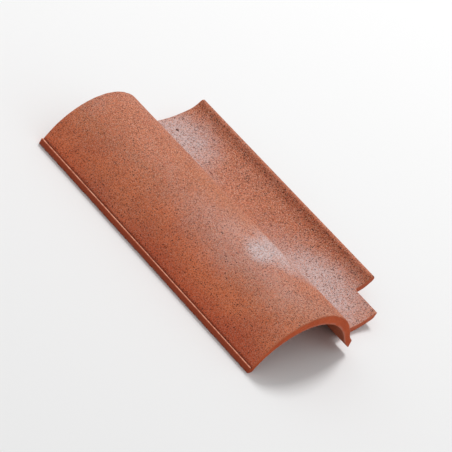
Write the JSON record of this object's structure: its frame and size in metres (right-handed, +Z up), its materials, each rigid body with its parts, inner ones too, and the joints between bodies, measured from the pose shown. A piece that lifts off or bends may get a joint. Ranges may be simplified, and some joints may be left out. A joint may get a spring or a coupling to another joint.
{
  "type": "clay roof tile",
  "caption": "One-piece S roof tile of fired clay: a tapering barrel roll with a beaded foot, running into a concave pan with an upturned lip, a notched tail corner and two nail holes.",
  "frame": {"origin": "on the floor, under the centre of the tile's bounding box as it lies at rest", "axes": "+Y along the tile from its exposed tail to its nailed head, +X across it from the roll to the pan's lip, +Z up"},
  "size_m": [0.33, 0.457, 0.082],
  "materials": {
    "fired_clay": "matte terracotta clay with a faint greyish bloom and fine dark specks; the cut ends show plain orange-brown clay"
  },
  "bodies": {
    "root": {"roof_tile": "fired_clay"}
  },
  "joints": []
}
